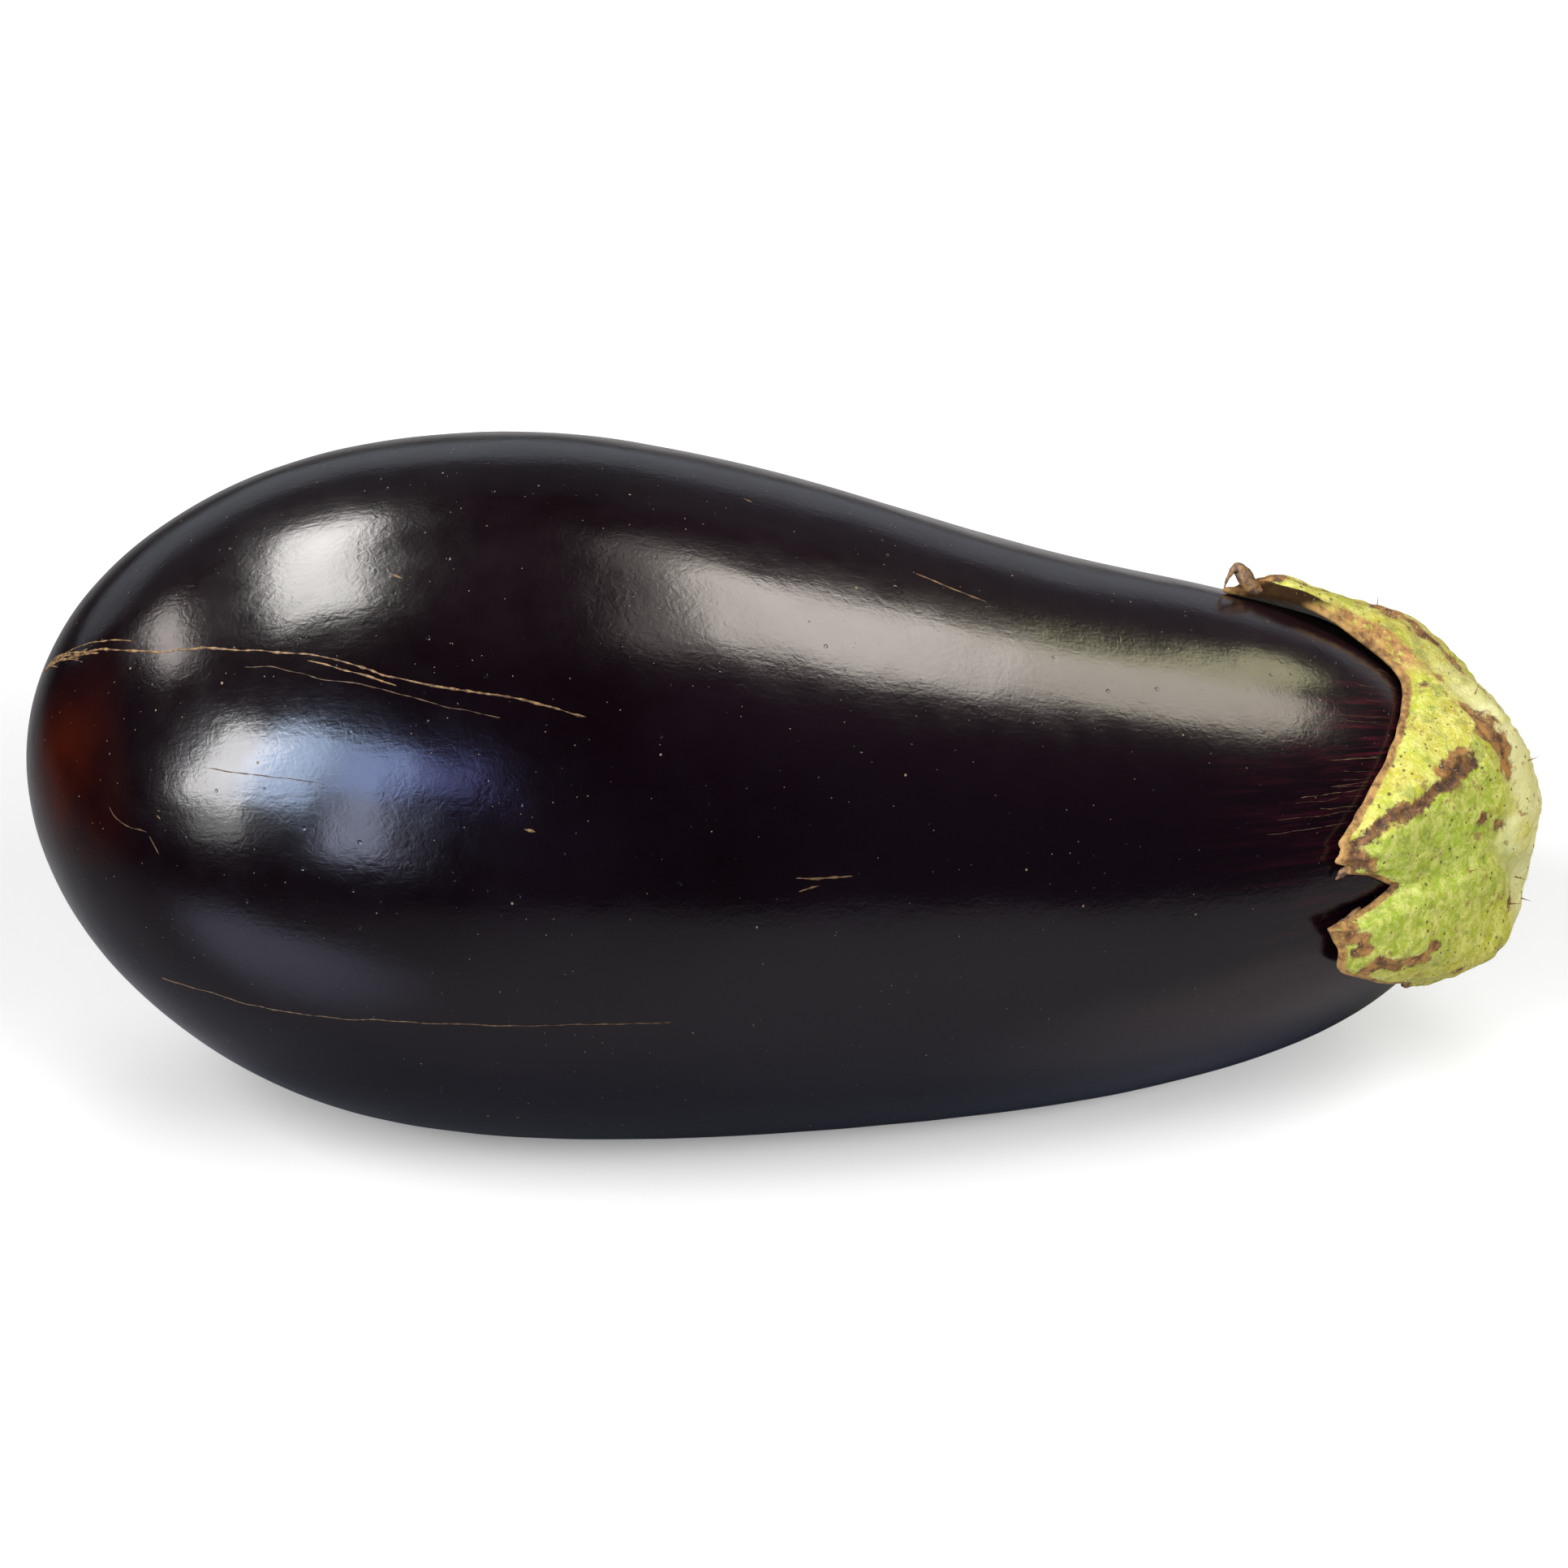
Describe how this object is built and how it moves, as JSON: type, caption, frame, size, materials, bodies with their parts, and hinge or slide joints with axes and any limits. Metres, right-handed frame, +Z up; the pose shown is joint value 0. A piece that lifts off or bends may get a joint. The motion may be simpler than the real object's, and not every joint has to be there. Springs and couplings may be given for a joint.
{
  "type": "eggplant",
  "caption": "Ripe eggplant lying on its side: pear-shaped, slightly bowed, glossy dark purple skin, green calyx with pointed sepals and a short cut stem.",
  "frame": {"origin": "middle of the small flat spot on the belly that the eggplant rests on, in the table plane", "axes": "+X along the eggplant towards its stem end, +Z up, +Y to the hollow side of its slight bow"},
  "size_m": [0.2052, 0.0976, 0.0939],
  "materials": {
    "fruit": "gloss",
    "calyx": "matte",
    "stem": "matte"
  },
  "bodies": {
    "root": {"fruit": "fruit", "calyx": "calyx", "stem": "stem"}
  },
  "joints": []
}
